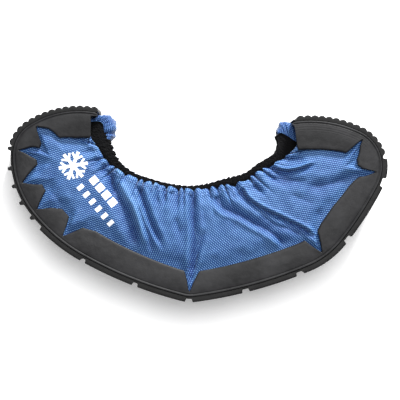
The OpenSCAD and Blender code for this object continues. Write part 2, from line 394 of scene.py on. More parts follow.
def mesh_fabric(name):
    """Sport mesh: rows of light raised beads on a deeper blue ground, and painted shade that makes it darker
    down in the folds.
    """
    form = Shading(name)
    cloth, (across, down, raised) = form.cloth()
    wobble = form.math("SUBTRACT", form.noise(cloth, 240, 2), 0.5)
    turns = form.plus(form.times(down, 2 * math.pi / ROW_PITCH), form.times(wobble, 2.2))
    rows = form.wave(turns, 0.5, 0.5)
    along_row = form.plus(form.times(across, 2 * math.pi / BEAD_PITCH), form.times(turns, 0.5))
    beads = form.wave(form.plus(along_row, form.times(wobble, 2.5)), 0.36, 0.64)
    dots = form.times(form.math("POWER", rows, 1.5), beads)
    fibre = form.noise(cloth, 5200, 2, 0.6)
    cloudy = form.noise(form.place(), 90, 4, 0.6)
    patchy = form.noise(cloth, 480, 3, 0.6)
    tone = dots
    # Painted shade: the cloth attribute's third part, the fold height, darkens the colour down in the folds and
    # on the hoods
    for part, amount in ((fibre, 0.12), (cloudy, 0.34), (patchy, 0.24), (raised, PAINTED_FOLD_SHADE / MM)):
        tone = form.plus(tone, form.times(part, amount))
    form.colour(tone, [(0.18, (0.003, 0.018, 0.11)), (0.46, (0.008, 0.042, 0.17)), (0.76, (0.026, 0.092, 0.25)),
                       (1.0, (0.135, 0.28, 0.48))])
    form.bump((form.plus(dots, form.times(fibre, 0.25)), 0.55, 0.0004))
    form.set(Roughness=0.6, Specular_IOR_Level=0.3, Sheen_Weight=0.2, Sheen_Roughness=0.4,
             Sheen_Tint=(0.6, 0.75, 1.0, 1))
    return form.material


def terry(name):
    """Black towelling: small crowded loops."""
    form = Shading(name)
    place = form.place()
    loops = form.nodes.new("ShaderNodeTexVoronoi")
    loops.inputs["Scale"].default_value = 1100
    form.link(place, loops.inputs["Vector"])
    fluff = form.noise(place, 3200, 3, 0.6)
    form.bump((form.math("SUBTRACT", form.times(fluff, 0.5), loops.outputs["Distance"]), 0.9, 0.0007))
    form.colour(fluff, [(0.3, (0.0015, 0.0015, 0.0018)), (0.75, (0.005, 0.005, 0.0055))])
    form.set(Roughness=0.95, Specular_IOR_Level=0.08, Sheen_Weight=0.02)
    return form.material


def print_ink(name):
    """White transfer ink that lets the weave show a little."""
    form = Shading(name)
    speck = form.noise(form.place(), 900, 3, 0.6)
    form.colour(speck, [(0.3, (0.72, 0.77, 0.84)), (0.55, (0.9, 0.92, 0.95))])
    form.bump((speck, 0.4, 0.0002))
    form.set(Roughness=0.5)
    return form.material


def thread(name, colour):
    form = Shading(name)
    twist = form.noise(form.place(), 2800, 2)
    form.colour(twist, [(0.3, tuple(c * 0.55 for c in colour)), (0.7, colour)])
    form.bump((twist, 0.5, 0.0001))
    form.set(Roughness=0.55)
    return form.material


SHELL_RUBBER = rubber("shell_rubber", (0.0045, 0.0045, 0.0052), (0.019, 0.019, 0.0205), 0.47, 0.4)
OUTSOLE_RUBBER = rubber("outsole_rubber", (0.002, 0.002, 0.0022), (0.005, 0.005, 0.0053), 0.5, 0.45)
BLUE_MESH = mesh_fabric("blue_mesh")
BLACK_TERRY = terry("black_terry")
BLACK_ELASTIC = terry("black_elastic")
WHITE_INK = print_ink("white_ink")
BLUE_THREAD = thread("blue_thread", (0.2, 0.36, 0.75))

# ---------------- the rubber shell

# Corners of the walls' upper edge as [distance, height]; the low ones are the slits' roots
WALL_TOP = [
    [-194, 3.5], [-185.2, 3.5], [-184.6, 14.9], [-174.8, 15.4], [-162.6, 13.9], [-158.2, 7.8], [-152.6, 4.4],
    [-151.6, 3.6], [-151.1, 5.4], [-149.2, 13], [-142.6, 14], [-134.4, 7.4], [-132.6, 4.6], [-132.2, 3.5],
    [-131.8, 5], [-131, 7.2], [-126, 13.8], [-122.2, 14], [-113.8, 5.2], [-113, 3.8], [-112.3, 5.4],
    [-107.4, 13.5], [-102, 13.6], [-96.2, 5.4], [-95.6, 4.1], [-94.9, 5.4], [-91.3, 10.4], [-86.2, 14.3],
    [-79.6, 13.9], [-77, 9], [-75.8, 5], [-75.2, 3.8], [-74.6, 5], [-69, 13.7], [-61, 15.8], [-49, 15.4],
    [-34, 15], [-6, 14], [-0.6, 4.8], [0, 3.6], [0.6, 4.8], [7.4, 14], [40, 14.3], [70.4, 14], [74.9, 5],
    [75.5, 3.8], [76.2, 5.2], [79.6, 10.6], [82.3, 14.2], [88.3, 15.3], [100, 15.7], [107.6, 14.9],
    [114.9, 14.2], [118.6, 13.4], [122.3, 11.8], [128.2, 6.4], [129.8, 4.4], [130.3, 3.9], [130.6, 5.4],
    [131.2, 11.8], [135.3, 14.2], [144.5, 13.6], [148.3, 11.2], [152.8, 8], [153.8, 5], [154.2, 4],
    [154.9, 5.6], [159.9, 14.3], [173, 15.8], [183, 16.4], [193.2, 16.2], [193.7, 3.5], [200, 3.5]
]
LOWEST_TOP = 3.5
EDGE_SOFTNESS = 0.35
TOE_CUT, HEEL_CUT = -75.2, 75.5


def wall_top(t):
    """Height of the walls' upper edge, with its corners softened."""
    fine = np.arange(TOE_TIP - 4, HEEL_TIP + 4, STATION)
    corners = np.array(WALL_TOP)
    top = np.interp(fine, corners[:, 0], corners[:, 1])
    kernel = bell(np.arange(-1.2, 1.2 + STATION, STATION), EDGE_SOFTNESS * math.sqrt(2))
    top = np.convolve(np.pad(top, len(kernel) // 2, mode="edge"), kernel / kernel.sum(), mode="valid")
    return np.maximum(np.interp(t, fine, top[: len(fine)]), LOWEST_TOP)


# Each wall's end leans: how far its upper edge runs on per millimetre of height, and the height that stays put
TOE_LEAN, TOE_LEAN_FROM = 0.29, 10.3
HEEL_LEAN, HEEL_LEAN_FROM = 0.1, 5.0


def leaning_ends(t, heights):
    """Distances along the sole, moved near both ends of the walls so that the ends lean."""
    toe = smoothstep(-176, -184, t) * smoothstep(TOE_TIP, -185.4, t)
    heel = smoothstep(183, 192, t) * smoothstep(HEEL_TIP, 193.6, t)
    shift = HEEL_LEAN * (heights - HEEL_LEAN_FROM) * heel[:, None]
    return t[:, None] - TOE_LEAN * (heights - TOE_LEAN_FROM) * toe[:, None] + shift


def shell_half_section(top):
    """(inset from the side, height) lists round half the shell, from the floor's middle to the underside's."""
    edge = np.minimum(1.0, 0.45 * (top - 2.4))
    shoulder = top - edge
    inside = np.maximum(shoulder, FLOOR)
    insets, heights = [], []

    def add(inset, height):
        insets.append(np.broadcast_to(inset, top.shape))
        heights.append(np.broadcast_to(height, top.shape))

    for inset in (WIDTH / 2, 12, 7.5, 4.2, 3.4):
        add(inset, FLOOR)
    for inset, rise in ((2.9, 0.12), (2.5, 0.4), (2.25, 0.9), (WALL, 1.5)):
        add(inset, np.minimum(FLOOR + rise, inside))
    for share in (0.33, 0.66, 1):
        start = np.minimum(FLOOR + 1.5, inside)
        add(WALL, start + share * (inside - start))
    lean = 0.35 * smoothstep(7, 15, top)
    for turn in np.linspace(math.pi / 8, math.pi, 8):
        across = (1 + math.cos(turn)) / 2
        base = inside if turn < math.pi / 2 else shoulder
        add(lean + (WALL - lean) * across, base + edge * math.sin(turn))
    for share in np.linspace(0.1, 1, 9):
        height = shoulder + (np.minimum(3.0, shoulder) - shoulder) * share
        add(0.35 * smoothstep(7, 15, height) + 0.1 * bell(height - 3, 1.5), height)
    # A shallow groove runs all along the foot of the wall
    for inset, height in ((0.14, 2.75), (0.26, 2.6), (0.26, 2.35), (0.1, 2.2), (0.0, 1.9), (0.0, 1.5),
                          (0.12, 1.28)):
        add(inset, np.minimum(height, shoulder))
    for inset in (0.4, 2, WIDTH / 2):
        add(inset, OUTSOLE)
    return np.stack(insets, axis=1), np.stack(heights, axis=1)


def whole_section(insets, heights):
    """A closed ring across the guard from half of one: heights, and z from the near side to the far one."""
    z = np.concatenate([WIDTH - insets, insets[:, -2:0:-1]], axis=1)
    return np.concatenate([heights, heights[:, -2:0:-1]], axis=1), z


def rubber_stations(step, low, high, corners):
    return np.unique(np.round(np.concatenate([np.arange(low, high, step), corners, [low, high]]), 3))


def tip_pinch(t):
    """How far a ring is drawn in at the sole's two rounded tips, from 0 to 1."""
    left = np.minimum(t - TOE_TIP, HEEL_TIP - t)
    return 1 - np.sqrt(np.clip(1 - (1 - np.clip(left / 1.2, 0, 1)) ** 2, 0, 1))


def build_shell():
    corners = [c[0] for c in WALL_TOP if TOE_TIP < c[0] < HEEL_TIP]
    t = rubber_stations(0.5, TOE_TIP, HEEL_TIP, corners + [-184.3, -184.15, 191.65, 191.8])
    heights, z = whole_section(*shell_half_section(wall_top(t)))
    middle_height = (OUTSOLE + FLOOR) / 2
    pinch = 0.7 * tip_pinch(t)[:, None]
    heights = heights + (middle_height - heights) * pinch
    x, y = on_sole(leaning_ends(t, heights), heights)
    places = np.stack([np.broadcast_to(t[:, None], heights.shape), heights, z], axis=-1) * MM
    columns = cut_at(t, TOE_CUT, HEEL_CUT)
    sole_layer("shell", in_frame(x, y, z), columns, SHELL_RUBBER, 60, places)


# ---------------- the outsole

TREAD = 1.8
# The toe's and heel's round ribs stand half sunk in the sole
RIB_RADIUS, RIB_SUNK = 2.3, 0.55
RIB_PITCH = 3.75
STUDS = [-93.8, -103.2, -112.6, -122, -132.4]
BLOCKS = [[-87, -60.2], [-58, -30.4], [-28, -1.5], [1.5, 28.4], [31.6, 58], [61.6, 88.6], [92.4, 123.2],
          [127.4, 137.6]]
TOE_RIBS = -np.arange(132.4 + RIB_PITCH, 186, RIB_PITCH)
HEEL_RIBS = np.arange(137.6 + RIB_PITCH, 192.5, RIB_PITCH)


def tread_depth(t):
    """How far the tread stands below the sole's skin at a distance along it."""
    depth = np.zeros_like(t)
    studs = [[s - 1.1, s + 1.1] for s in STUDS]
    for a, b in BLOCKS + studs:
        ramp = np.minimum(smoothstep(a - 0.15, a + 0.45, t), smoothstep(-b - 0.15, -b + 0.45, -t))
        depth = np.maximum(depth, TREAD * ramp)
    for centre in [*TOE_RIBS, *HEEL_RIBS]:
        depth = np.maximum(depth, np.sqrt(np.clip(RIB_RADIUS**2 - (t - centre) ** 2, 0, None)) - RIB_SUNK)
    return depth


def block_share(t):
    return np.max([smoothstep(a + 1, a + 1.6, t) * smoothstep(-b + 1, -b + 1.6, -t) for a, b in BLOCKS], axis=0)


def build_outsole():
    t = rubber_stations(0.25, TOE_TIP, HEEL_TIP, [])
    depth = tread_depth(t)
    blocks = block_share(t)
    sipes = smoothstep(0.72, 0.92, np.cos(2 * math.pi * t / 5.4)) * blocks
    half = [(WIDTH / 2, 1.15), (1.5, 1.15), (0.7, 1.15), (0.45, 0.95)]
    half += [(0.4, 0.95 + (0.55 - 0.95 - depth) * share) for share in (0.35, 0.7, 1)]
    for turn in np.linspace(0.3, math.pi / 2, 4):
        half.append((0.4 + 0.6 * (1 - math.cos(turn)), -depth + 0.55 * (1 - math.sin(turn))))
    for inset, sipe, groove in ((2.6, 0, 0), (3.4, 0, 0), (4.2, 1, 0), (7, 1, 0), (10, 1, 0), (13, 1, 0),
                                (15.3, 1, 0), (15.9, 1, 1), (WIDTH / 2, 1, 1)):
        half.append((inset, -depth + 0.9 * np.maximum(sipe * sipes, groove * blocks)))
    insets, heights = (np.stack(np.broadcast_arrays(t, *column)[1:], axis=1) for column in zip(*half))
    heights, z = whole_section(insets, heights)
    heights = heights + (0.4 - heights) * 0.75 * tip_pinch(t)[:, None]
    x, y = on_sole(t[:, None], heights)
    sole_layer("outsole", in_frame(x, y, z), cut_at(t, -59.1, 60), OUTSOLE_RUBBER, 45)


# ---------------- the sock's sides

# The mesh's gathered upper edge, toe to heel
HEM = [
    [-51.5, 84.5], [-48.3, 79.8], [-45.7, 75.1], [-41.5, 70.6], [-36.2, 66.9], [-29.9, 63.5], [-22.6, 61.2],
    [-15.2, 59.6], [-7.4, 57.8], [0.5, 57.1], [8.4, 57.6], [16.3, 58.8], [24.2, 60], [31, 62.5], [36.2, 66],
    [41.5, 69.1], [48.3, 73], [52.5, 76], [55.9, 79.6]
]
# Which place along the hem, in millimetres, each distance along the sole leads up to
FAN = [[-184, 0], [-150, 5], [-130, 9], [-113, 13], [-96, 17], [-75, 23], [-60, 29], [-30, 44], [0, 62],
       [30, 76], [60, 90], [75, 95], [96, 103], [112, 108], [127, 112.5], [150, 117.5], [170, 121],
       [191.5, 124.6]]
SOCK_FOOT = 3.5
HEM_ROLL = 0.045
MESH_THICK, LINING_THICK = 0.7, 1.3

# Folds: points from the hem down, depth, widths of the left and right slopes, ridges beside them, and fades
FOLD_DEPTH = 1.3
# Below 2 a fold's bottom is a crease
CREASE_POWER = 1.3
# Spacing of the points along a fold, and how far a fold is felt
FOLD_STEP, FOLD_REACH = 0.8, 16
FOLDS = [
    ([[-41.5, 69], [-40.8, 64], [-40, 59.5], [-35.3, 50.6], [-31.5, 43.2], [-28.7, 34.1], [-26.6, 26]],
     2.0, 2.2, 3.0, 0.9, 0.2, 2, 8),
    ([[-40.7, 66], [-40.6, 62], [-39.6, 58]], 1.1, 1.0, 1.6, 0.2, 0.2, 2, 3),
    ([[-36, 66], [-33.5, 58], [-30.5, 50]], 0.6, 1.6, 1.8, 0.3, 0.2, 3, 8),
    ([[-27.6, 60], [-25.6, 55.4], [-22.8, 47.8], [-20.6, 41.5], [-17.6, 34.8], [-14.7, 29], [-12.6, 24]],
     2.1, 1.5, 1.0, 0.25, 0.35, 4, 13),
    ([[-26.5, 50], [-24.4, 42], [-21.5, 34], [-19.5, 27], [-18, 20]], 1.1, 1.5, 1.3, 0.2, 0.3, 5, 11),
    ([[-16.5, 59.5], [-17.2, 54], [-15.8, 48]], 0.8, 0.9, 1.2, 0.3, 0.3, 1.5, 5),
    ([[-12.7, 58.6], [-12.6, 55], [-12.8, 50]], 1.2, 0.7, 1.1, 0.4, 0.3, 1.5, 4),
    ([[-9.4, 57], [-8.9, 54.4], [-9.6, 52.4]], 1.1, 1.4, 1.2, 0.2, 0.2, 1, 3),
    ([[0.6, 57], [1.2, 54], [2, 49.5], [2, 43.5], [2.6, 37], [2.2, 29], [1.6, 22], [1, 14], [0.6, 6]],
     1.6, 1.8, 1.3, 0.3, 0.35, 4, 6),
    ([[8.5, 38], [6.4, 30], [4, 21], [2, 12]], 1.4, 1.2, 2.4, 0.1, 0.2, 6, 5),
    ([[6.5, 50], [7.8, 44], [7, 38]], 0.7, 1.8, 2.0, 0.1, 0.1, 4, 5),
    ([[-7.4, 44], [-5.6, 37], [-4.6, 30]], 0.8, 2.0, 1.4, 0.2, 0.2, 4, 7),
    ([[13.7, 55], [15.2, 50.5], [18.5, 47.3], [23.6, 45.4], [29.2, 42.8], [34.6, 39.5], [40.3, 36.6],
      [46.7, 32.2], [49.8, 28.5], [53, 25]], 1.9, 2.9, 1.4, 0.15, 0.35, 3, 8),
    ([[27.3, 59], [28.7, 55], [31, 52], [35.1, 49.1], [40.3, 46.2], [47.6, 42.8], [53, 40.2], [58, 37.8],
      [63, 34.8], [66.5, 31]], 2.1, 0.9, 1.9, 0.35, 0.15, 3, 6),
    ([[36, 45.5], [41, 42], [46, 38.8], [51.5, 37], [56, 35], [61, 32]], 1.1, 1.2, 1.8, 0.3, 0.2, 6, 6),
    ([[33.3, 60.2], [36.2, 57.6], [40.5, 54.6]], 1.3, 2.0, 2.0, 0.2, 0.3, 2, 5),
    ([[21.5, 59.5], [22.8, 55], [26, 51]], 1.0, 0.9, 1.3, 0.3, 0.3, 2, 5),
    ([[42.5, 69.6], [45, 68.4], [49, 67], [53, 66.8], [58, 67.8], [63, 69.6], [68, 71]],
     1.7, 0.8, 1.6, 0.7, 0.1, 2, 8),
    ([[40, 67], [44, 63.8], [50, 62.8], [57, 62.2], [64, 62]], 1.2, 2.0, 2.6, 0.2, 0.1, 3, 8),
    ([[60, 60.4], [67, 59.6], [73, 60.2], [79, 62.4], [85, 64], [92, 66]], 1.2, 2.2, 3.0, 0.3, 0.1, 8, 7),
    ([[66, 48], [71, 41], [76, 33]], 0.8, 2.6, 2.2, 0.2, 0.2, 6, 6),
    ([[52, 56], [60, 52], [68, 49]], 0.7, 2.4, 2.4, 0.2, 0.2, 6, 8),
    ([[-62, 88], [-56, 85], [-52, 82]], 0.9, 1.4, 1.4, 0.2, 0.2, 2, 3),
    ([[-49.5, 79.5], [-54, 77], [-59, 78.5]], 0.9, 1.6, 1.8, 0.3, 0.2, 2, 5),
    ([[-46.5, 74.5], [-49, 71], [-53, 69]], 1.2, 1.3, 1.6, 0.4, 0.2, 2, 4),
    ([[-43.5, 71.5], [-45, 67.5], [-48, 65]], 1.0, 1.0, 1.4, 0.3, 0.2, 2, 4),
    ([[-75, 60], [-70, 54], [-64, 47]], 0.6, 2.4, 2.4, 0.2, 0.2, 5, 6),
    ([[-84, 76], [-76, 77], [-69, 80]], 0.5, 2.2, 2.2, 0.2, 0.2, 5, 6),
]


def fold_relief(x, y):
    """Height that the folds add at (x, y): a valley along each fold, and a ridge on one or both sides."""
    relief = np.zeros(x.shape)
    for points, depth, left, right, left_ridge, right_ridge, fade_in, fade_out in FOLDS:
        line = smooth_curve(points, FOLD_STEP)
        low, high = line.min(axis=0) - FOLD_REACH, line.max(axis=0) + FOLD_REACH
        near = (x > low[0]) & (x < high[0]) & (y > low[1]) & (y < high[1])
        at = np.stack([x[near], y[near]], axis=-1)
        away = at[:, None, :] - line[None, :, :]
        distance = np.linalg.norm(away, axis=2)
        nearest = distance.argmin(axis=1)
        rows = np.arange(len(nearest))
        heading = np.gradient(line, axis=0)[nearest]
        offset = away[rows, nearest]
        side = np.sign(heading[:, 0] * offset[:, 1] - heading[:, 1] * offset[:, 0])
        d = distance[rows, nearest]
        run = nearest * FOLD_STEP
        fade = smoothstep(0, fade_in, run) * smoothstep(0, fade_out, (len(line) - 1) * FOLD_STEP - run)
        width = np.where(side > 0, left, right)
        ridge = np.where(side > 0, left_ridge, right_ridge)
        valley = np.exp(-((d / width) ** CREASE_POWER))
        relief[near] += fade * depth * (ridge * bell(d - 2.2 * width, width) - valley)
    return relief * FOLD_DEPTH


def scallop(run):
    """Rounded puffs of the gathered hem, 0 in a valley and 1 on a puff, at a distance along the hem."""
    phase = math.pi * run / 5.4 + 0.9 * np.sin(run * 0.31 + 0.6) + 0.5 * np.sin(run * 0.83 + 2)
    return np.abs(np.sin(phase)) ** 0.62


HEM_CURVE = smooth_curve(HEM, 0.25)
HEM_RUN = run_along(HEM_CURVE)


def hem_at(run):
    return np.interp(run, HEM_RUN, HEM_CURVE[:, 0]), np.interp(run, HEM_RUN, HEM_CURVE[:, 1])


def hem_run(t):
    """The place along the hem that a distance along the sole leads up to."""
    knots = smooth_curve(FAN, 1.0)
    return np.interp(t, knots[:, 0], np.maximum.accumulate(knots[:, 1]))


def above_wall(x, y):
    """How far each place lies above the upper edge of the nearest wall, measured square to the sole."""
    t = np.arange(TOE_TIP, HEEL_TIP, 1.0)
    foot_x, foot_y = on_sole(t, 0.0)
    nearest = np.full(x.shape, 1e9)
    wall = np.zeros(x.shape)
    for fx, fy, top in zip(foot_x, foot_y, wall_top(t)):
        distance = np.hypot(x - fx, y - fy)
        closer = distance < nearest
        nearest[closer] = distance[closer]
        wall[closer] = top
    return nearest - wall


def sock_grid(step, rows, scallops):
    """Distances along the sole, x, y, and each place's share of the way from the sole to the hem, its place
    along the hem, its distance below it and its height above the walls."""
    t = rubber_stations(step, TOE_WALL_END + 4, HEEL_WALL_END - 4, [])
    run = hem_run(t)
    share = np.linspace(0, 1, rows) ** 0.92
    foot_x, foot_y = on_sole(t, SOCK_FOOT)
    top_x, top_y = hem_at(run)
    length = np.hypot(top_x - foot_x, top_y - foot_y)
    puff = 0.45 + 0.55 * smoothstep(14, 32, run) * smoothstep(122, 100, run)
    puff = scallops * (scallop(run) - 0.55) * puff
    top_x = top_x + (top_x - foot_x) / length * puff
    top_y = top_y + (top_y - foot_y) / length * puff
    x = foot_x[:, None] + (top_x - foot_x)[:, None] * share
    y = foot_y[:, None] + (top_y - foot_y)[:, None] * share
    below = length[:, None] * (1 - share)
    return t, x, y, share[None, :], run[:, None], below, above_wall(x, y)


def near_height(x, y, run, below, above):
    """z of the mesh's outer face on the side that faces up, and how far folds and gathers raise it."""
    body = WIDTH - 2.75 + 2.2 * smoothstep(-1, 9, above)
    towards_hem = -3.2 * bell(below, 9.0)
    gathers = 2.3 * (scallop(run + 0.02 * below) - 0.6) * bell(below, 7.0)
    creases = 0.7 * ripple(run, below * 0.06, 5.6, 5) * bell(below - 3, 15)
    cloth = 0.3 * ripple(x, y, 17, 3) + 0.16 * ripple(x, y, 6.5, 4)
    relief = (gathers + creases + cloth + fold_relief(x, y)) * smoothstep(-0.5, 5, above)
    return body + towards_hem + relief, relief


def far_height(x, y, run, below, above):
    """z of the mesh's outer face on the side that lies on the table, pressed flat there."""
    body = 2.75 - 1.6 * smoothstep(0, 10, above)
    towards_hem = 2.8 * bell(below, 11.0)
    gathers = -1.1 * (scallop(run * 1.03 + 2) - 0.5) * bell(below, 8)
    cloth = 0.3 * ripple(x, y, 15, 11) + 0.5 * ripple(run, below * 0.08, 5.2, 12) * bell(below, 20)
    return np.maximum(body + towards_hem + (gathers + cloth) * smoothstep(-0.5, 6, above), 0.3)


def cloth_places(x, y, relief):
    """Where each point lies on its cloth, whose grain turns at the main folds, and how high it stands there;
    that height darkens the mesh's colour as painted shade in the folds.
    """
    lines = [
        [[-44, 74], [-40, 60], [-31.5, 43], [-26, 26], [-22, 6]],
        [[0.6, 60], [2, 49.5], [2.9, 37], [5, 29], [3, 12], [0, 0]],
        [[27.3, 62], [30.4, 52.4], [40.3, 46.2], [52.4, 40.6], [64, 34.5], [74, 18]],
    ]
    turns = (18, 68, -42, -10)
    zone = np.zeros(x.shape, int)
    for line in lines:
        line = np.array(line)
        zone += x > np.interp(-y, -line[:, 1], line[:, 0])
    angle = np.radians(np.array(turns, float))[zone]
    u = x * np.cos(angle) + y * np.sin(angle)
    v = -x * np.sin(angle) + y * np.cos(angle)
    return np.stack([u, v, np.broadcast_to(relief, u.shape)], axis=-1) * MM


def there_and_back(out, back):
    """Closed rings of values round a thin layer: along its outer face, and back along its inner one."""
    return np.concatenate([out, back[:, ::-1]], axis=1)


SOCK_CUTS = (-60, 60)


def sock_layer(name, cad_name, grid, z, relief, thickness, inward, material):
    """One cloth layer of a side in three pieces; those at the ends take the place of its CAD pieces."""
    t, x, y = grid[:3]
    z = there_and_back(z, z + thickness * inward)
    x, y, height = (there_and_back(value, value) for value in (x, y, np.broadcast_to(relief, x.shape)))
    columns = cut_at(t, *SOCK_CUTS)
    pieces = in_parts(name, in_frame(x, y, z), columns, material, 70, cloth_places(x, y, height))
    bend(pieces, SOCK_BENDS)
    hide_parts(f"toe_{cad_name}")
    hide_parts(f"heel_{cad_name}")
    return pieces


def roll_hem(z, share, inward):
    """Turns the last rows over into a soft rounded hem."""
    turn = smoothstep(1 - HEM_ROLL, 1, share)
    return z + inward * 1.1 * turn**2


def build_mesh_sides():
    """Both sides of blue mesh; returns their pieces, the near side's first."""
    pieces = []
    for name, side, step, rows, scallops in (("near", 1, 0.6, 160, 2.5), ("far", -1, 1.0, 90, 1.3)):
        grid = sock_grid(step, rows, scallops)
        x, y, share, run, below, above = grid[1:]
        if side > 0:
            z, relief = near_height(x, y, run, below, above)
        else:
            z, relief = far_height(x, y, run, below, above), 0.0
        z = roll_hem(z, share, -side)
        pieces += sock_layer(f"mesh_{name}", f"panel_{name}", grid, z, relief, MESH_THICK, -side, BLUE_MESH)
        build_stitches(f"stitches_{name}", grid, z, side)
    return pieces


# Stitches along the hems: pitch, length, distance below the hem's edge and thread radius
STITCH_PITCH, STITCH_LENGTH, STITCH_BELOW, THREAD_RADIUS = 2.4, 1.7, 2.6, 0.17
THREAD_SIDES = 6
# Places along one stitch, and how thick the thread is there
STITCH_PLACES = np.array([0, 0.04, 0.16, 0.4, 0.6, 0.84, 0.96, 1])
STITCH_SWELL = np.array([0.15, 0.55, 0.9, 1, 1, 0.9, 0.55, 0.15])


def stitch_rings(centres):
    """Rings round one stitch's middle line."""
    axis = centres[-1] - centres[0]
    aside = np.cross(axis, [0, 0, 1])
    aside /= np.linalg.norm(aside)
    up = np.cross(aside, axis / np.linalg.norm(axis))
    turns = np.linspace(0, 2 * math.pi, THREAD_SIDES, endpoint=False)[:, None]
    circle = THREAD_RADIUS * (np.cos(turns) * aside - np.sin(turns) * up)
    return centres[:, None, :] + STITCH_SWELL[:, None, None] * circle[None]


def build_stitches(name, grid, z, side):
    """A row of short threads that follows the surface below one hem, in toe, middle and heel pieces."""
    t, x, y = grid[:3]
    below = grid[5]
    row = np.arange(len(t)), np.abs(below - STITCH_BELOW).argmin(axis=1)
    line = np.stack([x[row], y[row], z[row] + side * THREAD_RADIUS / 2, t], axis=-1)
    length = run_along(line[:, :3])
    threads = {part: [] for part in PARTS}
    for start in np.arange(STITCH_PITCH, length[-1] - 2 * STITCH_PITCH, STITCH_PITCH):
        stops = start + STITCH_LENGTH * STITCH_PLACES
        places = np.stack([np.interp(stops, length, line[:, k]) for k in range(4)], axis=-1)
        part = "toe" if places[0, 3] < SOCK_CUTS[0] else "heel" if places[0, 3] > SOCK_CUTS[1] else "middle"
        threads[part].append(stitch_rings(places[:, :3]))
    pieces = []
    for part, rings in threads.items():
        points = np.stack(rings)
        one = loop_faces(len(STITCH_PLACES), THREAD_SIDES)
        size = len(STITCH_PLACES) * THREAD_SIDES
        faces = [[k * size + corner for corner in face] for k in range(len(rings)) for face in one]
        placed = in_frame(*np.moveaxis(points, -1, 0))
        pieces.append(make_piece(f"{name}_{part}", placed, faces, BLUE_THREAD, 80))
    bend(pieces, SOCK_BENDS)


def build_linings():
    """Terry behind each mesh side, seen in the throats and from the opening."""
    pieces = []
    for name, side in (("near", 1), ("far", -1)):
        grid = sock_grid(1.2, 60, 0)
        x, y, below, above = grid[1], grid[2], grid[5], grid[6]
        z_in = 5.9 - 0.5 * smoothstep(0, 10, above) + 3.6 * bell(below, 9)
        z_in = z_in + 0.18 * ripple(x, y, 1.7, 21) + 0.3 * ripple(x, y, 12, 22)
        z = WIDTH - z_in if side > 0 else z_in
        layer = f"lining_{name}"
        pieces += sock_layer(layer, layer, grid, z, 0.0, LINING_THICK, -side, BLACK_TERRY)
    return pieces


# ---------------- insole, band and hoods


def build_insole():
    """Terry strip that lies on the shell's floor."""
    t = rubber_stations(0.8, TOE_WALL_END + 0.5, HEEL_WALL_END - 0.5, [TOE_CUT, HEEL_CUT])
    across = np.concatenate([[7.4, 7.5, 7.9], np.linspace(9, 25, 17), [26.1, 26.5, 26.6]])
    top = np.full((len(t), len(across)), INSOLE_TOP)
    top[:, [0, -1]] -= 1.0
    top[:, [1, -2]] -= 0.4
    top += 0.15 * ripple(t[:, None], across[None, :], 2.3, 31)
    heights = np.concatenate([top, np.full_like(top, FLOOR)], axis=1)
    z = np.broadcast_to(np.concatenate([across, across[::-1]]), heights.shape)
    x, y = on_sole(t[:, None], heights)
    return sole_layer("insole", in_frame(x, y, z), cut_at(t, TOE_CUT, HEEL_CUT), BLACK_TERRY, 70)


# The black band's hidden lower edge and its free upper edge, point by point from the toe's throat to the heel's
BAND_LOW = [
    [-53, 94.5], [-54, 90], [-54, 86], [-53.5, 82.5], [-50.5, 77.5], [-48, 73], [-43.5, 68.5], [-38, 64.5],
    [-31, 60.8], [-23.5, 58.3], [-8, 54.8], [2, 54], [17, 55.8], [25.5, 57], [33, 60], [38, 63.5], [43, 66.5],
    [50, 70], [56, 73], [59.5, 77], [60.5, 83]
]
BAND_HIGH = [
    [-46.5, 94.6], [-43.4, 90], [-42.8, 86.4], [-41.6, 82.9], [-39.6, 77.3], [-36.6, 72.3], [-32.6, 68.8],
    [-27.5, 65.8], [-21.5, 63.8], [-12.6, 61.3], [-1.4, 59.7], [8.4, 60.6], [19.2, 63.6], [29.4, 66.4],
    [36.1, 71.2], [41.2, 74.2], [45.4, 77.2], [46.9, 82.2], [45.8, 86.2], [48.6, 88.5], [53, 89]
]
BAND_TOE_CUT, BAND_HEEL_CUT = 7, 13
BAND_STEPS = 48
BAND_THICK = 1.6
# Distances between the small loops, and between the soft bumps, along the band's free edge
LOOP_PITCH, BUMP_PITCH = 1.55, 2.9


def even_band():
    """Lower and upper points of the band, with BAND_STEPS columns from each outline point to the next."""
    columns = through_points(np.hstack([BAND_LOW, BAND_HIGH]), BAND_STEPS)
    return columns[:, :2], columns[:, 2:]


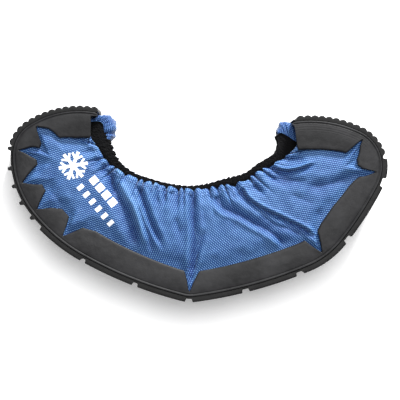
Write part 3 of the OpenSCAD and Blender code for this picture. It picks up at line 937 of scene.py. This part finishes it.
def build_band(name, side):
    low, high = even_band()
    run = run_along(high)
    width = np.linalg.norm(high - low, axis=1)
    throat = np.maximum(1 - smoothstep(0, 22, run), smoothstep(run[-1] - 18, run[-1] - 4, run))
    top = (WIDTH - 6.0 - 3.4 * throat)[:, None]
    loops = np.abs(np.sin(math.pi * run / LOOP_PITCH + 0.6 * np.sin(run * 0.9))) ** 0.7
    loops = loops * (0.7 + 0.3 * np.sin(run * 1.7 + 1))
    bumps = np.abs(np.sin(math.pi * run / BUMP_PITCH + 0.5 * np.sin(run * 0.41 + 2))) ** 0.6
    share = np.array([0, 0.15, 0.3, 0.42, 0.54, 0.64, 0.73, 0.81, 0.88, 0.93])[None, :]
    flat_x = share * np.ones_like(top)
    relief = 0.22 * ripple(run[:, None], share * 9, 2.2, 41)
    relief = relief + 0.2 * (loops[:, None] - 0.5) * smoothstep(0.5, 0.9, share)
    sunk = 1.5 * smoothstep(0.6, 0.2, share) + 0.5 * smoothstep(0.3, 1, share)
    upper = top + relief - sunk
    lower = top - BAND_THICK - sunk
    turn = np.linspace(0, math.pi, 7)[None, 1:-1]
    middle = top - 0.5 - BAND_THICK / 2
    rim_share = 0.93 + 0.07 * np.sin(turn) * (0.55 + 0.45 * loops[:, None]) + 0 * top
    rim_z = middle + BAND_THICK / 2 * np.cos(turn) * (0.85 + 0.25 * loops[:, None])
    shares = np.concatenate([flat_x, rim_share, flat_x[:, ::-1]], axis=1)
    z = np.concatenate([upper, rim_z, lower[:, ::-1]], axis=1)
    push = (0.3 * (loops - 0.5) + 1.1 * (bumps - 0.75))[:, None] * smoothstep(0.7, 1, shares)
    direction = (high - low) / width[:, None]
    reach = shares * width[:, None] + push
    x = low[:, :1] + direction[:, :1] * reach
    y = low[:, 1:] + direction[:, 1:] * reach
    if side < 0:
        z = WIDTH - z
    cuts = [0, BAND_TOE_CUT * BAND_STEPS, BAND_HEEL_CUT * BAND_STEPS, len(run) - 1]
    columns = [slice(a, b + 1) for a, b in zip(cuts[:-1], cuts[1:])]
    pieces = in_parts(f"band_{name}", in_frame(x, y, z), columns, BLACK_ELASTIC, 80)
    bend(pieces, SOCK_BENDS)
    return pieces


# Each hood's crown and rim, from the throat's depth to the opening
TOE_HOOD_CROWN = [[-52, 96.2], [-49.1, 96.9], [-45.4, 97.4], [-42.2, 96.9], [-39.4, 94.8], [-38.6, 92],
                  [-38.7, 88.5], [-39.2, 86], [-41.2, 83.6]]
TOE_HOOD_RIM = [[-52, 93.2], [-49.2, 93.6], [-46.6, 93.2], [-45.2, 91.8], [-44.9, 89], [-44.4, 86.4],
                [-44.2, 84.6]]
HEEL_HOOD_CROWN = [[57.6, 91.6], [54.6, 92.8], [52.6, 93.8], [50.4, 94], [48.3, 93.2], [47.1, 91.2],
                   [46.5, 89.2], [46.5, 87.6]]
HEEL_HOOD_RIM = [[57.6, 82.2], [55, 83.7], [52.2, 85.6], [50.4, 86.8], [48.8, 87.4], [47.7, 87.2],
                 [46.9, 86.8]]
HOOD_COLUMNS = 90
# Painted shade: the hoods' mesh is darkened as if it lay this much deeper in a fold, in millimetres
HOOD_SHADE = 0.9
HOOD_WIDTH = 18.0
HOOD_SEED = 51


def hood_profile(length):
    """Across a hood from its near rim over the crown to its far rim: distances from the rim line, and z."""
    shares = np.array([0, 0.15, 0.35, 0.55, 0.72, 0.84, 0.93, 0.985, 1.0])
    falls = np.array([0.9, 0.35, 0.0, 0.1, 0.45, 1.1, 2.1, 3.6, 5.4])
    half = HOOD_WIDTH / 2
    shares = np.concatenate([shares, [1.01], shares[::-1]])
    z = np.concatenate([half - falls, [0], falls[::-1] - half]) + WIDTH / 2
    return length[:, None] * shares[None, :], np.broadcast_to(z, (len(length), len(z)))


def build_hood(name, crown, rim, body, material, depth, thickness, overhang):
    """A soft arch over the opening's end; depth moves it inside the outer face, overhang past the rim."""
    crown, rim = (smooth_curve(c, 0.1) for c in (crown, rim))
    crown = crown[np.linspace(0, len(crown) - 1, HOOD_COLUMNS).astype(int)]
    rim = rim[np.linspace(0, len(rim) - 1, HOOD_COLUMNS).astype(int)]
    length = np.linalg.norm(crown - rim, axis=1)
    across = (crown - rim) / length[:, None]
    run = run_along(crown)
    a, z = hood_profile(length)
    slope_a, slope_z = np.gradient(a, axis=1), np.gradient(z, axis=1)
    size = np.hypot(slope_a, slope_z) + 1e-9
    in_a, in_z = slope_z / size, -slope_a / size
    folds = 0.7 * ripple(run[:, None], z * 0.35, 4.6, HOOD_SEED)
    folds = folds + 0.34 * ripple(run[:, None] * 1.2, z, 2.3, HOOD_SEED + 1)
    folds = (folds + 0.5) * smoothstep(0, 0.25, a / length[:, None])
    folds = folds * (0.15 + 0.85 * smoothstep(run[-1], run[-1] - 4, run))[:, None]

    def layer(offset):
        rim_reach = overhang * (1 - smoothstep(0, 0.3, a / length[:, None]))
        return a + in_a * (offset + folds) - rim_reach, z + in_z * (offset + folds)

    outer_a, outer_z = layer(depth)
    inner_a, inner_z = layer(depth + thickness)
    ring = there_and_back(outer_a, inner_a)
    x = rim[:, :1] + across[:, :1] * ring
    y = rim[:, 1:] + across[:, 1:] * ring
    around = np.cumsum(size, axis=1)
    # Painted shade: the hood's folds and HOOD_SHADE go into the cloth height, which darkens the blue mesh's
    # colour
    raised = there_and_back(-folds, -folds) - HOOD_SHADE
    cloth = [np.broadcast_to(run[:, None], x.shape), there_and_back(around, around), raised]
    cloth = np.stack(cloth, axis=-1).reshape(-1, 3) * MM
    piece = lofted(name, in_frame(x, y, there_and_back(outer_z, inner_z)), material, 75, cloth)
    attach(piece, body)
    return piece


def build_hoods():
    hoods = []
    for end, crown, rim in (("toe", TOE_HOOD_CROWN, TOE_HOOD_RIM), ("heel", HEEL_HOOD_CROWN, HEEL_HOOD_RIM)):
        body = f"{end}_cap"
        hood = build_hood(f"hood_{end}", crown, rim, body, BLUE_MESH, 0, MESH_THICK, 0)
        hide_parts(f"{end}_hood")
        liner = build_hood(f"hood_liner_{end}", crown, rim, body, BLACK_TERRY, 0.75, 0.9, 0.7)
        hoods += [hood, liner]
    return hoods


# ---------------- the print

PRINT_PLACE = (-60.5, 70)
PRINT_TURN = -50
ARM, ARM_WIDTH = 7.6, 1.7
BRANCH, BRANCH_WIDTH, BRANCH_AT, BRANCH_TURN = 2.6, 1.1, 4.4, 45
# Wide bars and slim bars beside the flake: first distance, pitch, count, then low and high edges and length
BARS = [[11, 5, 4, 1.2, 5.4, 3.8], [10, 4.9, 6, -6.2, -2.6, 2.2]]
# The ink is first drawn flat this high above the guard and cut this often, then drops onto the cloth
DRAWN_AT, INK_CUTS = 60.0, 9
INK_THICK = 0.09


def turned(degrees):
    """The matrix of a turn in the plane."""
    turn = math.radians(degrees)
    return np.array([[math.cos(turn), -math.sin(turn)], [math.sin(turn), math.cos(turn)]])


def flake_outline():
    """One closed outline of a six-armed flake with a pair of branches on each arm."""
    half = ARM_WIDTH / 2
    lean = math.radians(BRANCH_TURN)
    ray = np.array([math.cos(lean), math.sin(lean)])
    edge = np.array([-ray[1], ray[0]]) * BRANCH_WIDTH / 2
    root = np.array([BRANCH_AT, half])
    spread = np.array([BRANCH_WIDTH / 2 / math.sin(lean), 0])
    tip = root + ray * BRANCH
    upper = [root - spread, tip + edge, tip - edge, root + spread, np.array([ARM, half])]
    notch = np.array([half / math.tan(math.pi / 6), half])
    lower = [p * (1, -1) for p in upper]
    arm = [notch * (1, -1), *lower, *upper[::-1]]
    return [turned(degrees) @ p for degrees in range(0, 360, 60) for p in arm]


def build_print(near):
    """Ink laid on the near side's toe piece and middle piece."""
    spin = turned(PRINT_TURN)
    outlines = [flake_outline()]
    for first, pitch, count, v0, v1, length in BARS:
        for u in first + pitch * np.arange(count):
            outlines.append([np.array(p) for p in ((u, v0), (u + length, v0), (u + length, v1), (u, v1))])
    cloth = bmesh.new()
    for piece in near:
        cloth.from_mesh(piece.data)
    tree = BVHTree.FromBMesh(cloth)
    form = bmesh.new()
    for outline in outlines:
        corners = [spin @ p + np.array(PRINT_PLACE) for p in outline]
        form.faces.new([form.verts.new(in_frame(*p, DRAWN_AT)) for p in corners])
    form.normal_update()
    bmesh.ops.triangulate(form, faces=form.faces[:])
    bmesh.ops.subdivide_edges(form, edges=form.edges[:], cuts=INK_CUTS, use_grid_fill=True)
    for vertex in form.verts:
        hit = tree.ray_cast(vertex.co, Vector((0, 0, -1)))[0]
        vertex.co.z = hit.z + INK_THICK * MM
    bottom = bmesh.ops.extrude_face_region(form, geom=form.faces[:])["geom"]
    for part in bottom:
        if isinstance(part, bmesh.types.BMVert):
            part.co.z -= INK_THICK * MM * 0.8
    bmesh.ops.recalc_face_normals(form, faces=form.faces[:])
    mesh = bpy.data.meshes.new("print")
    form.to_mesh(mesh)
    ink = show(mesh, WHITE_INK, 60)
    bend([ink], SOCK_BENDS)
    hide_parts("snowflake_print")
    form.free()
    cloth.free()


# ---------------- light, floor and camera


def build_stage():
    bpy.ops.mesh.primitive_plane_add(size=4, location=(0, 0, -0.0002))
    floor = bpy.context.object
    floor.name = "floor"
    form = Shading("floor")
    form.set(Base_Color=(0.93, 0.93, 0.935, 1), Roughness=0.8)
    form.set(Emission_Color=(1, 1, 1, 1), Emission_Strength=0.2)
    floor.data.materials.append(form.material)


def area_light(name, place, size, power):
    """A round lamp that points at the frame's origin."""
    data = bpy.data.lights.new(name, "AREA")
    data.shape = "DISK"
    data.size = size
    data.energy = power
    light = bpy.data.objects.new(name, data)
    light.location = place
    light.rotation_euler = (-Vector(place)).to_track_quat("-Z", "Y").to_euler()
    bpy.context.scene.collection.objects.link(light)


def build_lights():
    scene = bpy.context.scene
    world = bpy.data.worlds.new("studio")
    world.use_nodes = True
    world.node_tree.nodes["Background"].inputs["Color"].default_value = (1, 1, 1, 1)
    world.node_tree.nodes["Background"].inputs["Strength"].default_value = 0.4
    scene.world = world
    area_light("key", (0.1, 0.35, 1.15), 0.7, 13)
    area_light("graze", (0.45, 1.25, 0.5), 0.35, 46)
    scene.view_settings.view_transform = "Standard"


# The view looks straight down on the guard; its middle in the view, and the width that the view spans
VIEW_MIDDLE = (5.8, 52.0)
VIEW_SPAN = 210.0
LENS = 150.0
SHARP_HEIGHT = 30.0


def build_camera():
    data = bpy.data.cameras.new("camera")
    data.lens = LENS
    data.sensor_width = 36.0
    camera = bpy.data.objects.new("camera", data)
    distance = VIEW_SPAN * LENS / data.sensor_width + SHARP_HEIGHT
    camera.location = in_frame(*VIEW_MIDDLE, distance)
    camera.rotation_euler = (0, 0, 0)
    bpy.context.scene.collection.objects.link(camera)
    bpy.context.scene.camera = camera


build_camera()
build_lights()
build_stage()
build_shell()
build_outsole()
sides = build_mesh_sides()
linings = build_linings()
insoles = build_insole()
bands = build_band("near", 1) + build_band("far", -1)
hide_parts("opening_elastic")
hoods = build_hoods()
build_print(sides[:2])
